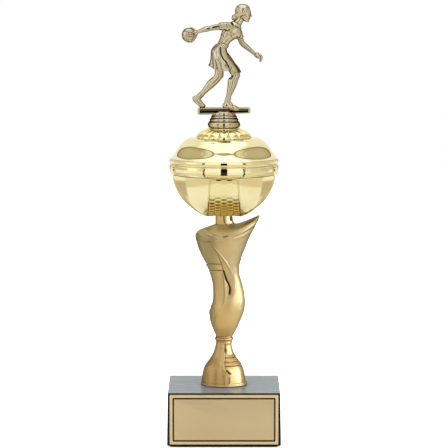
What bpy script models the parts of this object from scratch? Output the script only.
"""Bowling trophy: block base, draped riser, closed cup and a bowler figure, all on one tie rod.

Dimensions are in millimetres and are turned into metres when a mesh is written.
+Z is up, the engraving plate faces -Y, the figure bowls towards +X, and z = 0 is the floor.
"""

import math

import bmesh
import bpy
import numpy as np
from mathutils import Matrix, Vector

for old in list(bpy.data.objects):
    bpy.data.objects.remove(old, do_unlink=True)

MM = 0.001
GAP = 0.10          # between pieces that stay still against each other
RUN = 0.30          # between pieces that turn against each other

# block and felt
FELT_SIDE, FELT_THICK, FELT_CORNER = 109.0, 1.5, 3.0
BLOCK_LOW, BLOCK_HIGH = 115.0, 113.5    # side at the bottom and at the top
BLOCK_Z0, BLOCK_Z1 = FELT_THICK + GAP, 55.4
BLOCK_CHAMFER = 0.8
BORE_R, BORE_SIDES = 4.0, 24
RECESS_R, RECESS_TOP, RECESS_SIDES = 16.0, 24.0, 32
CUT_Z0, BORE_CUT_Z1 = -5.0, 70.0        # the cutters run past the block

# plate on the -Y face
PLATE_W, PLATE_H, PLATE_THICK, PLATE_CORNER = 109.6, 50.4, 0.8, 0.6
PLATE_MID_Z = 28.6
TAPE_THICK, TAPE_MARGIN, TAPE_CORNER = 0.5, 3.0, 0.5

# tie rod and its hardware
ROD_R, ROD_Z0, ROD_Z1, ROD_CHAMFER = 3.175, 7.0, 328.5, 0.6
HARDWARE_BORE_R = 3.75
WASHER_R, WASHER_THICK = 14.0, 1.6
LOCK_R, LOCK_THICK = 5.9, 1.9
NUT_FLAT, NUT_H = 11.1, 5.6             # NUT_FLAT is measured across the flats
BOWL_WASHER_R, BOWL_WASHER_THICK = 9.5, 1.4

# stack
STACK_BORE_R = 3.9                      # rod hole through the stacked pieces
FOOT_Z0, FOOT_Z1 = BLOCK_Z1 + RUN, 99.8
RING_Z0, RING_Z1 = FOOT_Z1 + GAP, 105.7
BODY_Z0 = RING_Z1 + GAP
NECK_R, NECK_Z1, NECK_CHAMFER = 8.8, 230.1, 0.4
BOWL_Z0, BOWL_FLOOR_Z = NECK_Z1 + RUN, 233.4
BAND_Z0, BAND_Z1 = 272.4, 288.3
DOME_Z0, DOME_Z1 = BAND_Z1 + GAP, 309.2
COLLAR_Z0, COLLAR_Z1 = DOME_Z1 + GAP, 319.4
PEDESTAL_Z0 = COLLAR_Z1 + RUN

# lane platform: half length, half width, bottom and top
LANE_X, LANE_Y, LANE_Z0, LANE_Z1 = 26.8, 8.5, 333.2, 339.9


# ---------------------------------------------------------------- materials

def material(name, colour, roughness, metallic):
    mat = bpy.data.materials.new(name)
    mat.use_nodes = True
    shader = mat.node_tree.nodes["Principled BSDF"]
    shader.inputs["Base Color"].default_value = (*colour, 1.0)
    shader.inputs["Roughness"].default_value = roughness
    shader.inputs["Metallic"].default_value = metallic
    mat.diffuse_color = (*colour, 1.0)
    return mat


# name, base colour, roughness, metallic
MATERIALS = {name: material(name, colour, roughness, metallic)
             for name, colour, roughness, metallic in (
    ("gloss_black", (0.012, 0.016, 0.025), 0.08, 0.0),
    ("plate_gold", (0.62, 0.47, 0.24), 0.35, 1.0),
    ("adhesive", (0.82, 0.82, 0.78), 0.8, 0.0),
    ("felt", (0.03, 0.03, 0.035), 0.95, 0.0),
    ("zinc", (0.62, 0.62, 0.62), 0.3, 1.0),
    ("riser_gold", (0.72, 0.52, 0.24), 0.3, 1.0),
    ("riser_gold_bright", (0.80, 0.58, 0.22), 0.15, 1.0),
    ("cup_gold", (0.93, 0.78, 0.36), 0.08, 1.0),
    ("figure_gold", (0.82, 0.74, 0.50), 0.12, 1.0),
    ("brass", (0.75, 0.60, 0.30), 0.3, 1.0),
)}


# ---------------------------------------------------------------- helpers

def keep(name, bm, mat):
    """Writes a bmesh in millimetres as a named object in metres."""
    bmesh.ops.recalc_face_normals(bm, faces=bm.faces)
    mesh = bpy.data.meshes.new(name)
    bm.transform(Matrix.Scale(MM, 4))
    bm.to_mesh(mesh)
    bm.free()
    mesh.materials.append(MATERIALS[mat])
    obj = bpy.data.objects.new(name, mesh)
    bpy.context.scene.collection.objects.link(obj)
    return obj


def from_rings(rings, capped=False):
    """Skins equally long point rings. The ends are capped, or else joined to each other."""
    bm = bmesh.new()
    rows = [[bm.verts.new(point) for point in points] for points in rings]
    count = len(rows[0])
    pairs = list(zip(rows, rows[1:]))
    if not capped:
        pairs.append((rows[-1], rows[0]))
    for this, following in pairs:
        for i in range(count):
            j = (i + 1) % count
            bm.faces.new((this[i], this[j], following[j], following[i]))
    if capped:
        bm.faces.new(list(reversed(rows[0])))
        bm.faces.new(rows[-1])
    return bm


def ring(radius, z, sides):
    """Points round the Z axis. The radius is a number or a function of the angle."""
    points = []
    for i in range(sides):
        angle = 2 * math.pi * i / sides
        r = radius(angle) if callable(radius) else radius
        points.append((r * math.cos(angle), r * math.sin(angle), z))
    return points


def turned(name, profile, mat, sides):
    """A closed (radius, z) profile turned about +Z."""
    return keep(name, from_rings([ring(r, z, sides) for r, z in profile]), mat)


def prism(outline, z0, z1):
    return from_rings([[(x, y, z) for x, y in outline] for z in (z0, z1)], capped=True)


def cylinder(radius, z0, z1, sides):
    return from_rings([ring(radius, z0, sides), ring(radius, z1, sides)], capped=True)


def box(half_x, half_y, z0, z1):
    corners = [(half_x, -half_y), (half_x, half_y), (-half_x, half_y), (-half_x, -half_y)]
    return prism(corners, z0, z1)


def chamfered_rectangle(half_w, half_h, cut):
    """Rectangle about the origin with its four corners cut off."""
    w, h = half_w, half_h
    return [(w, -h + cut), (w, h - cut), (w - cut, h), (-w + cut, h),
            (-w, h - cut), (-w, -h + cut), (-w + cut, -h), (w - cut, -h)]


def hexagon(flat):
    """Radius of a hexagon at an angle, from its width across the flats."""
    def at(angle):
        off_flat = (angle + math.pi / 6) % (math.pi / 3) - math.pi / 6
        return flat / 2 / math.cos(off_flat)
    return at


def cutter(name, bm, target):
    """Hidden helper object that is subtracted from the target."""
    obj = keep(name, bm, "felt")
    obj.hide_render = True
    obj.display_type = "WIRE"
    mod = target.modifiers.new(name, "BOOLEAN")
    mod.operation = "DIFFERENCE"
    mod.solver = "EXACT"
    mod.object = obj


def smooth(t):
    """S-shaped step from 0 to 1."""
    t = min(1.0, max(0.0, t))
    return t * t * (3 - 2 * t)


def read_table(rows, z):
    """Straight-line reading of a (z, value, ...) table."""
    if z <= rows[0][0]:
        return rows[0][1:]
    for low, high in zip(rows, rows[1:]):
        if z <= high[0]:
            t = (z - low[0]) / (high[0] - low[0])
            return tuple(a + (b - a) * t for a, b in zip(low[1:], high[1:]))
    return rows[-1][1:]


# ---------------------------------------------------------------- block, plate, felt

def base_block():
    """Drafted block with chamfered edges, a rod bore and a recess below for the nut."""
    cut = BLOCK_CHAMFER
    low, high = BLOCK_LOW / 2, BLOCK_HIGH / 2
    levels = ((low - cut, BLOCK_Z0), (low, BLOCK_Z0 + cut),
              (high, BLOCK_Z1 - cut), (high - cut, BLOCK_Z1))
    rings = [[(x, y, z) for x, y in chamfered_rectangle(half, half, cut)] for half, z in levels]
    obj = keep("base_block", from_rings(rings, capped=True), "gloss_black")
    cutter("cut_bore", cylinder(BORE_R, CUT_Z0, BORE_CUT_Z1, BORE_SIDES), obj)
    cutter("cut_recess", cylinder(RECESS_R, CUT_Z0, RECESS_TOP, RECESS_SIDES), obj)


def front_slab(name, width, height, standoff, thick, mat, corner):
    """A thin slab lying against the drafted -Y face of the block."""
    lean = (BLOCK_LOW - BLOCK_HIGH) / 2 / (BLOCK_Z1 - BLOCK_Z0)
    rings = []
    for offset in (standoff, standoff + thick):
        points = []
        for x, rise in chamfered_rectangle(width / 2, height / 2, corner):
            z = PLATE_MID_Z + rise
            face = -(BLOCK_LOW / 2 - lean * (z - BLOCK_Z0))
            points.append((x, face - offset, z))
        rings.append(points)
    keep(name, from_rings(rings, capped=True), mat)


def plate():
    front_slab("plate_adhesive", PLATE_W - 2 * TAPE_MARGIN, PLATE_H - 2 * TAPE_MARGIN,
               standoff=GAP, thick=TAPE_THICK, mat="adhesive", corner=TAPE_CORNER)
    front_slab("engraving_plate", PLATE_W, PLATE_H, standoff=2 * GAP + TAPE_THICK,
               thick=PLATE_THICK, mat="plate_gold", corner=PLATE_CORNER)


def base_felt():
    """One sheet under the whole block, which also covers the recess for the nut."""
    centre = FELT_SIDE / 2 - FELT_CORNER
    outline = []
    for side_x, side_y, start in ((1, -1, -90), (1, 1, 0), (-1, 1, 90), (-1, -1, 180)):
        for step in range(4):
            angle = math.radians(start + 30 * step)
            outline.append((side_x * centre + FELT_CORNER * math.cos(angle),
                            side_y * centre + FELT_CORNER * math.sin(angle)))
    keep("base_felt", prism(outline, 0.0, FELT_THICK), "felt")


# ---------------------------------------------------------------- rod, washers, nuts

HARDWARE_SIDES = 24
WASHER_SIDES = 30


def tie_rod():
    profile = [(ROD_R - ROD_CHAMFER, ROD_Z0), (ROD_R, ROD_Z0 + ROD_CHAMFER),
               (ROD_R, ROD_Z1 - ROD_CHAMFER), (ROD_R - ROD_CHAMFER, ROD_Z1)]
    rings = [ring(r, z, HARDWARE_SIDES) for r, z in profile]
    keep("tie_rod", from_rings(rings, capped=True), "zinc")


def washer(name, outer, z0, thick):
    bore = HARDWARE_BORE_R
    profile = [(bore, z0), (bore, z0 + thick), (outer, z0 + thick), (outer, z0)]
    turned(name, profile, "zinc", WASHER_SIDES)


def nut(name, z0, height, mat="zinc"):
    """Hexagon nut: corners are chamfered at both ends, the bore is round."""
    outside = hexagon(NUT_FLAT)
    corner = NUT_FLAT / 2 / math.cos(math.pi / 6)
    end_r = NUT_FLAT / 2 + 0.05
    drop = (corner - end_r) * 0.6       # height of the chamfer
    z1 = z0 + height

    def clipped(angle):
        return min(outside(angle), end_r)

    profile = [(HARDWARE_BORE_R, z0), (HARDWARE_BORE_R, z1), (clipped, z1),
               (outside, z1 - drop), (outside, z0 + drop), (clipped, z0)]
    turned(name, profile, mat, HARDWARE_SIDES)


def split_washer(name, outer, z0, thick):
    """Spring washer: a square-section ring with a narrow slit and ends a little out of line."""
    steps, slit = 28, math.radians(12)
    rise, margin = 0.35, 0.2            # end to end, and taken off each face
    bore = HARDWARE_BORE_R
    rings = []
    for i in range(steps + 1):
        angle = slit / 2 + (2 * math.pi - slit) * i / steps
        lift = rise * (i / steps - 0.5)
        low, high = z0 + margin + lift, z0 + thick - margin + lift
        section = ((bore, low), (outer, low), (outer, high), (bore, high))
        rings.append([(r * math.cos(angle), r * math.sin(angle), z) for r, z in section])
    keep(name, from_rings(rings, capped=True), "zinc")


def base_hardware():
    """Washer, spring washer and nut, hung downwards from the roof of the recess."""
    washer_z0 = RECESS_TOP - GAP - WASHER_THICK
    lock_z0 = washer_z0 - GAP - LOCK_THICK
    washer("base_washer", WASHER_R, washer_z0, WASHER_THICK)
    split_washer("base_lock_washer", LOCK_R, lock_z0, LOCK_THICK)
    nut("base_nut", lock_z0 - RUN - NUT_H, NUT_H)


# ---------------------------------------------------------------- riser foot and ring

FOOT_SIDES = 30
# outside of the foot: (z, radius)
FOOT_OUTSIDE = [
    (FOOT_Z0, 23.3), (56.3, 23.9), (57.1, 23.9), (57.6, 23.2), (64.0, 22.5),
    (69.0, 21.6), (72.5, 20.6), (75.5, 19.2), (79.0, 16.9), (82.0, 14.6),
    (86.0, 12.1), (91.0, 10.0), (95.5, 8.9), (FOOT_Z1, 8.1)]
# inside of the foot, from the top down: (radius, z)
FOOT_INSIDE = [(STACK_BORE_R, FOOT_Z1), (STACK_BORE_R, 76.0), (14.0, 72.0), (19.5, 62.0),
               (20.6, FOOT_Z0)]
# edge of the smooth fold on the -Y half of the foot: (z, x)
FOOT_EDGE = [(FOOT_Z0, 6.5), (70.0, 6.2), (74.5, 3.4), (84.0, 0.4), (FOOT_Z1, 0.3)]
EDGE_WIDTH = 1.5                        # over which the fold fades out
SLIM_Z0, SLIM_Z1, SLIM_DROP = 61, 98, 0.8
STEP_LEVELS = (77.5, 80.6, 84.4)        # middles of the grooves beside the fold
STEP_HALF, STEP_REACH, STEP_DROP = 0.3, 0.7, 0.5


def foot_radius(z, radius):
    """The fold lies on the -X side; the +X side is stepped and a little slimmer."""
    edge = read_table(FOOT_EDGE, z)[0]
    drop = SLIM_DROP if SLIM_Z0 < z < SLIM_Z1 else 0.0
    drop += STEP_DROP * sum(abs(z - level) < STEP_REACH for level in STEP_LEVELS)

    def at(angle):
        edge_x = -edge * 0.5 if math.sin(angle) > 0 else edge
        return radius - drop * smooth((radius * math.cos(angle) - edge_x) / EDGE_WIDTH + 0.5)
    return at


def riser_foot():
    levels = {z for z, _ in FOOT_OUTSIDE}
    for level in STEP_LEVELS:
        levels |= {level - STEP_HALF, level + STEP_HALF}
    outside = [(foot_radius(z, read_table(FOOT_OUTSIDE, z)[0]), z) for z in sorted(levels)]
    turned("riser_foot", outside + FOOT_INSIDE, "riser_gold_bright", FOOT_SIDES)


def riser_ring():
    turned("riser_ring", [
        (STACK_BORE_R, RING_Z0), (8.3, RING_Z0), (8.5, 100.8), (9.3, 102.0), (9.5, 103.2),
        (9.1, 104.2), (8.3, 104.7), (8.4, 105.3), (8.2, RING_Z1), (STACK_BORE_R, RING_Z1),
    ], "riser_gold_bright", sides=28)


# ---------------------------------------------------------------- riser drape and column

BODY_SIDES = 32
# outside of the drape: (z, left x, right x, half depth)
BODY = [
    (BODY_Z0, -8.0, 9.0, 8.3), (111.0, -10.6, 11.9, 10.5), (117.0, -12.9, 14.8, 12.8),
    (123.0, -14.4, 17.4, 14.3), (129.0, -15.0, 19.8, 15.4), (135.0, -13.7, 21.2, 15.8),
    (141.0, -11.9, 21.6, 15.5), (148.0, -11.4, 21.0, 14.8), (156.0, -11.5, 19.6, 14.1),
    (164.0, -12.8, 17.4, 13.6), (171.0, -15.0, 15.8, 14.0), (177.0, -17.0, 15.8, 15.2),
    (183.0, -20.0, 17.1, 17.2), (188.0, -22.7, 18.5, 19.0)]
# top of the drape: (z at the left, left x, right x, half depth, lift at the right)
TOP = [
    (194.0, -25.5, 21.4, 21.2, 2.0), (200.0, -27.5, 25.5, 23.0, 6.0),
    (205.0, -28.8, 31.0, 24.0, 12.0), (209.0, -29.3, 35.8, 24.5, 18.0),
    (211.0, -29.0, 36.4, 24.2, 18.2), (213.2, -28.2, 35.2, 22.8, 15.8),
    (215.3, -25.5, 29.0, 19.5, 11.0), (217.5, -20.0, 21.5, 15.5, 5.5),
    (219.8, -14.0, 15.5, 12.0, 1.5), (221.3, -11.0, 12.2, 10.4, 1.0),
    (223.3, -9.9, 10.5, 9.7, 0.6)]
# inside of the drape's top, downwards, same columns
TOP_INSIDE = [
    (220.6, -10.6, 11.2, 9.9), (217.0, -13.0, 14.0, 11.5), (213.6, -20.5, 20.0, 16.5, 2.0),
    (208.5, -26.0, 26.0, 21.5, 5.0), (202.0, -26.6, 26.0, 22.0, 5.0)]
DRAPE_SKIN = 2.2
COLUMN_INSET = 2.65     # how far below the drape's face the covered column lies

# edge of the drape beside its opening, from the shoulder down: (z, x)
RIM = [
    (204.6, -14.5), (196.8, -8.4), (189.0, -2.0), (180.0, 3.8), (171.3, 7.7), (163.4, 9.7),
    (155.6, 9.3), (150.0, 7.3), (143.8, 3.0), (142.0, -0.6), (137.5, -1.8), (131.0, -6.3),
    (128.0, -9.5)]
# rest of the opening's outline, back up to the shoulder: (z, x)
WINDOW_REST = [(134.0, -18.0), (134.5, -45.0), (205.2, -45.0), (205.2, -24.0), (205.6, -18.5)]
WINDOW_HALF_DEPTH = 40.0

COLUMN_LEVELS = [
    106.0, 117.0, 129.0, 135.0, 139.0, 143.0, 148.0, 156.0, 164.0, 171.0, 173.0, 173.4, 174.4,
    174.8, 177.0, 179.1, 179.5, 180.5, 180.9, 183.0, 188.0]
# column above its levels, the columns as in TOP
COLUMN_FLARE = [TOP[0], (199.0, -27.16, 24.8, 22.7, 5.33)]
COLUMN_RIM = (202.6, -27.9, 20.0, 19.0, 2.0)
COLUMN_SHOULDER = [
    (204.4, -27.2, 19.0, 18.0, 1.0), (204.8, -23.0, 18.0, 15.5, 1.0),
    (209.0, -14.0, 14.0, 12.5), (213.0, -10.0, 10.5, 9.6)]
NECK_Z0 = 216.0
GROOVES, GROOVE_DEPTH = ((179.3, 180.7), (173.2, 174.6)), 0.8   # (low z, high z) of each


def oval(z, left, right, depth, lift=0.0, inset=0.0):
    """Oval section drawn in by the inset (number or function of angle), raised towards +X."""
    points = []
    middle, half = (left + right) / 2, (right - left) / 2
    for i in range(BODY_SIDES):
        angle = 2 * math.pi * i / BODY_SIDES
        inward = inset(angle) if callable(inset) else inset
        rise = lift * ((1 + math.cos(angle)) / 2) ** 3
        points.append((middle + (half - inward) * math.cos(angle),
                       (depth - inward) * math.sin(angle), z + rise))
    return points


def riser_drape():
    """Hollow drape, with an opening at the left (-X) through which the column shows."""
    rings = [oval(*row) for row in BODY + TOP + TOP_INSIDE]
    rings += [oval(*row, inset=DRAPE_SKIN) for row in reversed(BODY + TOP[:2])]
    obj = keep("riser_drape", from_rings(rings), "riser_gold")
    window = from_rings([[(x, y, z) for z, x in RIM + WINDOW_REST]
                         for y in (-WINDOW_HALF_DEPTH, WINDOW_HALF_DEPTH)], capped=True)
    bmesh.ops.triangulate(window, faces=[f for f in window.faces if len(f.verts) > 4])
    cutter("cut_window", window, obj)


def column_inset(z, left, right):
    """Under the drape the column lies deeper; in the opening it comes out to the face."""
    middle, half = (left + right) / 2, (right - left) / 2
    rim_x = read_table(sorted(RIM), z)[0]
    groove = GROOVE_DEPTH if any(low < z < high for low, high in GROOVES) else 0.0

    def at(angle):
        if math.cos(angle) > 0:
            return COLUMN_INSET + groove
        x = middle + half * math.cos(angle)
        free = smooth((rim_x - 1.2 - x) / 9.0)
        free *= smooth((z - 136.5) / 5.0) * smooth((206.5 - z) / 3.0)
        return COLUMN_INSET - COLUMN_INSET * free + groove
    return at


def rim_inset(angle):
    return 0.0 if math.cos(angle) < -0.6 else 1.5


def riser_column():
    rows = [(z, *read_table(BODY, z)) for z in COLUMN_LEVELS] + COLUMN_FLARE
    rings = [oval(*row, inset=column_inset(*row[:3])) for row in rows]
    rings.append(oval(*COLUMN_RIM, inset=rim_inset))
    rings += [oval(*row) for row in COLUMN_SHOULDER]
    neck_and_bore = [
        (NECK_R, NECK_Z0), (NECK_R, NECK_Z1 - NECK_CHAMFER), (NECK_R - NECK_CHAMFER, NECK_Z1),
        (STACK_BORE_R, NECK_Z1), (STACK_BORE_R, COLUMN_LEVELS[0])]
    rings += [ring(r, z, BODY_SIDES) for r, z in neck_and_bore]
    keep("riser_column", from_rings(rings), "riser_gold")


# ---------------------------------------------------------------- cup

# outside of the bowl: (z, strap apothem, ridge radius)
BOWL = [
    (BOWL_Z0, 17.6, 24.6), (231.4, 19.0, 26.2), (233.4, 23.2, 30.2), (236.0, 27.6, 34.4),
    (239.4, 32.0, 38.4), (243.6, 37.1, 42.8), (248.0, 41.2, 46.4), (253.0, 44.9, 49.7),
    (258.0, 47.8, 52.0), (263.0, 49.9, 53.7), (268.0, 51.3, 54.7), (272.2, 51.9, 55.1)]
BOWL_WALL = 2.0
BOWL_FLOOR = (19.0, 22.0)               # apothem and ridge radius of the inside floor
STRAP_LOW, STRAP_HIGH = 17.4, 15.0      # half widths of a strap
STRAP_TAPER_H = 40.0
STRAP_CROWN, PANEL_BULGE = 0.25, 0.35
DIAGONAL = 0.7071
CUP_SIDES = 42
FLUTES, FLUTE_SIDES = 16, 3


def bowl_ring(z, apothem, ridge, inset=0.0):
    """24-point section: four straps and a ridge between each two."""
    half = STRAP_LOW + (STRAP_HIGH - STRAP_LOW) * smooth((z - BOWL_Z0) / STRAP_TAPER_H)
    half = min(half, apothem - 0.4)
    peak = ridge * DIAGONAL
    near, far = (apothem + peak) / 2 + PANEL_BULGE, (half + peak) / 2 + PANEL_BULGE
    quarter = [(apothem, -half), (apothem + STRAP_CROWN, 0.0), (apothem, half),
               (near, far), (peak, peak), (far, near)]
    points = []
    for turn in range(4):
        c, s = math.cos(turn * math.pi / 2), math.sin(turn * math.pi / 2)
        for x, y in quarter:
            r = math.hypot(x, y)
            x, y = x * (r - inset) / r, y * (r - inset) / r
            points.append((x * c - y * s, x * s + y * c, z))
    return points


def cup_bowl():
    outside = [bowl_ring(*row) for row in BOWL]
    inside = [bowl_ring(*row, inset=BOWL_WALL) for row in reversed(BOWL[3:])]
    # the lowest inside ring keeps its shape but is set down near the floor
    inside[-1] = [(x, y, 237.0) for x, y, _ in inside[-1]]
    floor = [bowl_ring(BOWL_FLOOR_Z, *BOWL_FLOOR)]
    hole = [ring(STACK_BORE_R, z, 24) for z in (BOWL_FLOOR_Z, BOWL_Z0)]
    keep("cup_bowl", from_rings(outside + inside + floor + hole), "cup_gold")


def bowl_hardware():
    z0 = BOWL_FLOOR_Z + GAP
    washer("bowl_washer", BOWL_WASHER_R, z0, BOWL_WASHER_THICK)
    nut("bowl_nut", z0 + BOWL_WASHER_THICK + RUN, NUT_H)


def cup_band():
    turned("cup_band", [
        (50.0, BAND_Z0), (52.2, BAND_Z0), (53.4, 276.0), (55.2, 277.4), (55.6, 279.0),
        (54.9, 280.7), (53.6, 282.2), (55.0, 284.4), (55.9, 285.6), (55.9, 287.4),
        (55.3, BAND_Z1), (50.0, BAND_Z1)], "cup_gold", CUP_SIDES)


def cup_dome():
    turned("cup_dome", [
        (54.2, DOME_Z0), (51.4, 291.7), (49.2, 294.8), (46.6, 298.3), (44.2, 301.5),
        (41.4, 304.6), (38.4, 307.3), (36.4, 308.7), (35.2, DOME_Z1),
        (STACK_BORE_R, DOME_Z1), (STACK_BORE_R, 306.8),
        (34.0, 306.6), (41.5, 301.0), (46.4, 294.4), (50.0, DOME_Z0)], "cup_gold", CUP_SIDES)


def fluted(radius, depth):
    """Radius at an angle, drawn in by the depth where two lobes meet."""
    def at(angle):
        t = (angle / (2 * math.pi / FLUTES)) % 1.0
        return radius - depth * (1 - abs(math.sin(math.pi * t)))
    return at


def fluted_collar():
    # (z, radius, flute depth)
    outside = [(COLLAR_Z0, 27.8, 0.6), (312.4, 26.4, 1.4), (314.8, 24.2, 1.5),
               (316.8, 21.2, 1.2), (318.4, 17.8, 0.8), (COLLAR_Z1, 16.2, 0.0)]
    profile = [(fluted(r, depth), z) for z, r, depth in outside]
    profile += [(STACK_BORE_R, COLLAR_Z1), (STACK_BORE_R, 314.5), (22.0, 313.0),
                (25.0, COLLAR_Z0)]
    turned("fluted_collar", profile, "cup_gold", FLUTES * FLUTE_SIDES)


# ---------------------------------------------------------------- pedestal, insert, platform

PEDESTAL_SIDES = 30
# outside, upwards: (radius, z)
PEDESTAL = [
    (14.8, PEDESTAL_Z0), (15.9, 320.6), (16.4, 322.2), (16.3, 324.0), (15.5, 325.4),
    (14.3, 326.0), (14.5, 327.4), (14.0, 328.8), (12.9, 329.5), (13.0, 330.6),
    (12.5, 331.7), (11.6, 332.2), (11.8, 333.4), (11.3, 335.2), (10.0, 336.6),
    (7.0, 337.6), (0.8, 337.9)]
MOUTH_R = 13.0
SOCKET_FLAT, SOCKET_Z0, SOCKET_Z1 = 11.9, 321.2, 327.5
ROD_HOLE_Z1 = 331.0
INSERT_Z0, INSERT_H = 321.4, 5.8


def figure_pedestal():
    """Stepped round body. The socket below takes the captive nut and the end of the rod."""
    socket = hexagon(SOCKET_FLAT)
    inside = [(MOUTH_R, PEDESTAL_Z0), (MOUTH_R, SOCKET_Z0), (socket, SOCKET_Z0),
              (socket, SOCKET_Z1), (STACK_BORE_R, SOCKET_Z1), (STACK_BORE_R, ROD_HOLE_Z1)]
    rings = [ring(r, z, PEDESTAL_SIDES) for r, z in PEDESTAL[::-1] + inside]
    obj = keep("figure_pedestal", from_rings(rings, capped=True), "figure_gold")
    cutter("cut_pedestal", box(LANE_X + GAP, LANE_Y + GAP, LANE_Z0 - GAP, LANE_Z1 + 3), obj)


def lane_platform():
    """Long bar with cut corners and chamfered bottom and top edges."""
    low, high, corner = 0.7, 0.4, 1.5
    levels = ((low, LANE_Z0), (0.0, LANE_Z0 + low), (0.0, LANE_Z1 - high), (high, LANE_Z1))
    rings = [[(x, y, z) for x, y in chamfered_rectangle(LANE_X - inset, LANE_Y - inset, corner)]
             for inset, z in levels]
    keep("lane_platform", from_rings(rings, capped=True), "figure_gold")


# ---------------------------------------------------------------- distance fields

def limb(points, start, end, start_r, end_r):
    """Signed distance to a round-ended tapered limb."""
    start, end = np.asarray(start, float), np.asarray(end, float)
    axis = end - start
    t = np.clip(((points - start) @ axis) / (axis @ axis), 0, 1)
    distance = np.linalg.norm(points - start - t[..., None] * axis, axis=-1)
    return distance - (start_r + (end_r - start_r) * t)


def ellipsoid(points, centre, radii, turn=(0.0, 0.0, 0.0)):
    """Near-distance to an ellipsoid. The turn is in degrees about x, y and z."""
    local = points - np.asarray(centre, float)
    if any(turn):
        about_x, about_y, about_z = (
            Matrix.Rotation(math.radians(angle), 3, axis) for angle, axis in zip(turn, "XYZ"))
        local = local @ np.array(about_z @ about_y @ about_x)
    radii = np.asarray(radii, float)
    reach = np.linalg.norm(local / radii, axis=-1)
    slope = np.linalg.norm(local / (radii * radii), axis=-1)
    return reach * (reach - 1) / np.maximum(slope, 1e-6)


def ball(points, centre, radius):
    return np.linalg.norm(points - np.array(centre), axis=-1) - radius


def blend(a, b, width):
    """Union with a rounded inner corner."""
    h = np.clip(0.5 + 0.5 * (b - a) / width, 0, 1)
    return b + (a - b) * h - width * h * (1 - h)


def blend_cut(a, b, width):
    """Intersection of a and b, with a rounded edge."""
    return -blend(-a, b, width)


def joined(points, shapes):
    """Blends a table of shapes in order."""
    _, shape, *sizes = shapes[0]
    field = shape(points, *sizes)
    for width, shape, *sizes in shapes[1:]:
        field = blend(field, shape(points, *sizes), width)
    return field


# ---------------------------------------------------------------- bowler

# skirt: (z, left x, right x, half depth)
SKIRT = [
    (376.0, -12.5, 16.0, 12.2), (379.0, -14.5, 15.0, 11.9), (382.5, -15.8, 13.4, 11.6),
    (385.4, -14.6, 11.4, 11.2), (389.0, -13.6, 8.4, 10.6), (393.0, -13.4, 5.0, 9.8),
    (397.0, -13.2, 2.9, 9.0), (400.0, -12.5, 2.8, 8.2), (403.6, -9.8, 3.4, 6.9),
    (406.5, -6.4, 4.6, 6.0)]
SKIRT_TOP, HEM_Z, HEM_RISE = 406.0, 377.6, 4.6
PLEAT_TOP, PLEAT_FADE, PLEAT_DEPTH = 400, 22, 0.9

# Body parts, one shape a row: (blend width to the rows above, shape, its sizes).
# A limb has start, end and two radii; an ellipsoid has centre, radii and turn.
TORSO = (
    (None, limb, (-1.2, 0, 404.5), (1.5, 0, 410.5), 5.0, 6.0),
    (4.0, ellipsoid, (6.6, 0, 416.6), (8.6, 8.4, 9.4), (0, 38, 0)),
    (3.0, ellipsoid, (11.5, 0, 417.5), (6.4, 7.6, 7.2), (0, 20, 0)),
    (3.0, limb, (5.4, -6.6, 422.8), (13.0, 6.8, 421.0), 4.2, 4.2))
NECK = ((None, limb, (12.5, 0, 423.5), (16.5, 0, 431.0), 3.9, 3.5),)
HEAD = (
    (None, ellipsoid, (19.0, 0, 437.6), (7.7, 6.6, 7.6)),
    (2.5, ellipsoid, (21.4, 0, 434.0), (5.6, 5.0, 6.8), (0, -8, 0)),
    (1.6, ellipsoid, (26.6, 0, 434.2), (1.5, 1.2, 1.6)),
    (1.8, ellipsoid, (9.8, 0, 431.0), (2.8, 4.4, 2.9)))
# stretched back towards -X
BALL_ARM = (
    (None, limb, (4.0, -7.6, 423.0), (-11.5, -9.4, 421.4), 4.2, 2.8),
    (1.0, limb, (-11.5, -9.4, 421.4), (-26.4, -8.2, 417.3), 2.8, 2.0),
    (1.5, ellipsoid, (-30.2, -8.6, 415.8), (4.6, 2.6, 3.2), (0, -18, 0)))
BOWLING_BALL = ((None, ball, (-35.6, -6.0, 414.0), 7.35),)
# reaching forwards and down towards +X
LEADING_ARM = (
    (None, limb, (13.6, 7.6, 420.6), (18.0, 9.2, 406.0), 4.3, 3.1),
    (1.2, limb, (18.0, 9.2, 406.0), (30.4, 8.0, 394.9), 3.0, 2.1),
    (1.4, ellipsoid, (35.4, 7.6, 391.2), (5.6, 2.3, 3.6), (0, 40, 0)),
    (0.8, limb, (33.0, 6.6, 393.8), (37.2, 5.4, 394.8), 1.6, 1.3))
FRONT_LEG = (
    (None, limb, (2.0, 0, 392.0), (11.6, -1.0, 375.6), 6.2, 4.8),
    (2.0, limb, (11.9, -1.0, 374.6), (8.6, -2.6, 364.8), 4.4, 4.2),
    (2.0, limb, (8.6, -2.6, 364.8), (4.2, -4.6, 349.6), 4.2, 2.7),
    (1.2, limb, (4.0, -4.7, 350.0), (2.9, -5.2, 344.0), 2.8, 3.2))
FRONT_SHOE = (
    (None, ellipsoid, (2.6, -5.4, 342.2), (4.4, 3.4, 3.6)),
    (2.4, ellipsoid, (10.2, -7.4, 340.2), (6.4, 3.5, 3.0), (0, 14, 8)))
SHOE_BLEND = 1.5
# on its toes
TRAILING_LEG = (
    (None, limb, (-4.0, 1.0, 390.0), (-5.2, 2.0, 373.2), 5.4, 4.4),
    (1.6, limb, (-5.4, 2.0, 372.0), (-14.0, 3.2, 363.6), 4.2, 3.7),
    (1.8, limb, (-14.0, 3.2, 363.6), (-24.2, 4.4, 352.4), 3.7, 2.4),
    (1.6, ellipsoid, (-28.0, 4.6, 348.6), (4.4, 3.0, 3.6), (0, 30, 0)),
    (1.6, limb, (-27.0, 4.6, 347.6), (-22.6, 4.4, 341.8), 3.4, 2.9))
TRAILING_SOLE_Z = 340.05

FIELD_LOW, FIELD_HIGH, FIELD_STEP = (-45.0, -16.0, 334.0), (43.0, 16.0, 448.0), 1.4
BOWLER_FACES = 2400.0


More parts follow.
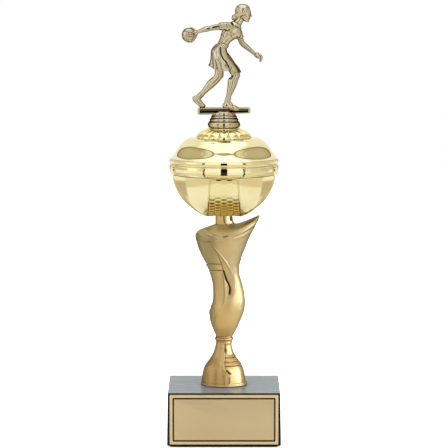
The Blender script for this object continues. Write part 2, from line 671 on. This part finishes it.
def skirt_field(points):
    """Hollow skirt with pleats that deepen towards the hem."""
    x, y, z = points[..., 0], points[..., 1], points[..., 2]
    levels, *columns = np.array(SKIRT).T
    left, right, depth = (np.interp(z, levels, column) for column in columns)
    middle, half = (left + right) / 2, (right - left) / 2
    angle = np.arctan2(y / depth, (x - middle) / half)
    waves = 0.6 * np.sin(7 * angle + 0.9) + 0.4 * np.sin(11 * angle + 2.0)
    pleat = np.clip((PLEAT_TOP - z) / PLEAT_FADE, 0, 1) * PLEAT_DEPTH * waves
    reach = np.sqrt(((x - middle) / half) ** 2 + (y / depth) ** 2)
    skirt = (reach - 1) * np.minimum(half, depth) * 0.9 - pleat
    hem = HEM_Z + np.clip((-6.0 - x) / 10.0, 0, 1) * HEM_RISE   # higher at the back
    skirt = np.maximum(skirt, hem - z)
    skirt = np.maximum(skirt, z - SKIRT_TOP)
    hollow = np.maximum((reach - 0.80) * np.minimum(half, depth), z - (hem + 3.0))
    return blend_cut(skirt, hollow, 0.8)


def front_leg_field(points):
    return blend(joined(points, FRONT_LEG), joined(points, FRONT_SHOE), SHOE_BLEND)


def trailing_leg_field(points):
    """The leg is cut off below, higher up from x = -16 forwards."""
    x, z = points[..., 0], points[..., 2]
    return np.maximum(joined(points, TRAILING_LEG), TRAILING_SOLE_Z - z + np.clip(x + 16, 0, 5))


def bowler_field(points):
    body = skirt_field(points)
    for width, shapes in ((1.6, TORSO), (2.0, NECK), (1.2, HEAD), (1.6, BALL_ARM),
                          (0.6, BOWLING_BALL), (1.6, LEADING_ARM)):
        body = blend(body, joined(points, shapes), width)
    body = blend(body, front_leg_field(points), 0.8)
    return blend(body, trailing_leg_field(points), 0.8)


def tetra_triangles(inner, outer):
    """Triangles that part the inner corners of a tetrahedron from the outer ones.

    Each triangle corner is the (inner, outer) or (outer, inner) edge it lies on.
    """
    if len(inner) == 2:
        quad = [(inner[0], outer[0]), (inner[0], outer[1]),
                (inner[1], outer[1]), (inner[1], outer[0])]
        return [(quad[0], quad[1], quad[2]), (quad[0], quad[2], quad[3])]
    if len(inner) == 1:
        return [[(inner[0], m) for m in outer]]
    return [[(m, outer[0]) for m in inner]]


def skin_field(field, low, high, step):
    """Closed triangle skin of a field's zero surface. Each cube is cut into six tetrahedra."""
    axes = [np.arange(start, end + step, step) for start, end in zip(low, high)]
    values = field(np.stack(np.meshgrid(*axes, indexing="ij"), axis=-1))
    # no grid point may lie on the surface itself
    values = np.where(np.abs(values) < 1e-3, 1e-3, values).reshape(-1)
    size = [len(axis) for axis in axes]

    def index(cells):
        return (cells[:, 0] * size[1] + cells[:, 1]) * size[2] + cells[:, 2]

    def edge_key(p, q):
        lower, upper = np.minimum(p, q), np.maximum(p, q)
        return index(lower) * 8 + (upper - lower) @ np.array([1, 2, 4])

    def crossing(p, q):
        at_p, at_q = values[index(p)], values[index(q)]
        t = (at_p / (at_p - at_q))[:, None]
        return p * (1 - t) + q * t

    # only the cubes that the surface passes through
    cubes = np.stack(np.meshgrid(*[np.arange(m - 1) for m in size], indexing="ij"), axis=-1)
    cubes = cubes.reshape(-1, 3)
    inside = sum((values[index(cubes + np.array(c))] < 0).astype(int) for c in np.ndindex(2, 2, 2))
    cubes = cubes[(inside > 0) & (inside < 8)]

    corners, keys = [], []
    for order in ((0, 1, 2), (0, 2, 1), (1, 0, 2), (1, 2, 0), (2, 0, 1), (2, 1, 0)):
        # a tetrahedron is a walk along the three axes from corner to far corner
        tetra = [cubes]
        for axis in order:
            tetra.append(tetra[-1] + np.eye(3, dtype=int)[axis])
        below = np.stack([values[index(p)] for p in tetra], axis=-1) < 0
        code = below @ np.array([1, 2, 4, 8])
        for case in range(1, 15):
            rows = np.nonzero(code == case)[0]
            if not len(rows):
                continue
            inner = [m for m in range(4) if case >> m & 1]
            outer = [m for m in range(4) if not case >> m & 1]
            ends = [p[rows] for p in tetra]
            outward = (sum(ends[m] for m in outer) / len(outer)
                       - sum(ends[m] for m in inner) / len(inner))
            for triangle in tetra_triangles(inner, outer):
                key = np.stack([edge_key(ends[p], ends[q]) for p, q in triangle], axis=-1)
                place = np.stack([crossing(ends[p], ends[q]) for p, q in triangle], axis=1)
                normal = np.cross(place[:, 1] - place[:, 0], place[:, 2] - place[:, 0])
                flip = np.einsum("ij,ij->i", normal, outward) < 0
                key[flip] = key[flip][:, ::-1]
                place[flip] = place[flip][:, ::-1]
                corners.append(place)
                keys.append(key)
    # corners on the same grid edge become one vertex
    _, first, triangles = np.unique(np.concatenate(keys).reshape(-1),
                                    return_index=True, return_inverse=True)
    verts = np.asarray(low, float) + np.concatenate(corners).reshape(-1, 3)[first] * step
    return verts, triangles.reshape(-1, 3)


def bowler():
    points, triangles = skin_field(bowler_field, FIELD_LOW, FIELD_HIGH, FIELD_STEP)
    bm = bmesh.new()
    verts = [bm.verts.new(Vector(point)) for point in points]
    for triangle in triangles:
        bm.faces.new([verts[i] for i in triangle])
    bmesh.ops.dissolve_degenerate(bm, dist=0.02, edges=bm.edges)
    obj = keep("bowler", bm, "figure_gold")
    thin = obj.modifiers.new("thin", "DECIMATE")
    thin.ratio = min(1.0, BOWLER_FACES / max(1, len(obj.data.polygons)))
    # keeps the shoes off the platform
    cutter("cut_bowler", box(LANE_X + 3, LANE_Y + GAP, LANE_Z0 - 8, LANE_Z1 + GAP), obj)


# ---------------------------------------------------------------- build, from the floor up

base_block()
plate()
base_felt()
tie_rod()
base_hardware()
riser_foot()
riser_ring()
riser_drape()
riser_column()
cup_bowl()
bowl_hardware()
cup_band()
cup_dome()
fluted_collar()
figure_pedestal()
nut("figure_insert", INSERT_Z0, INSERT_H, "brass")
lane_platform()
bowler()
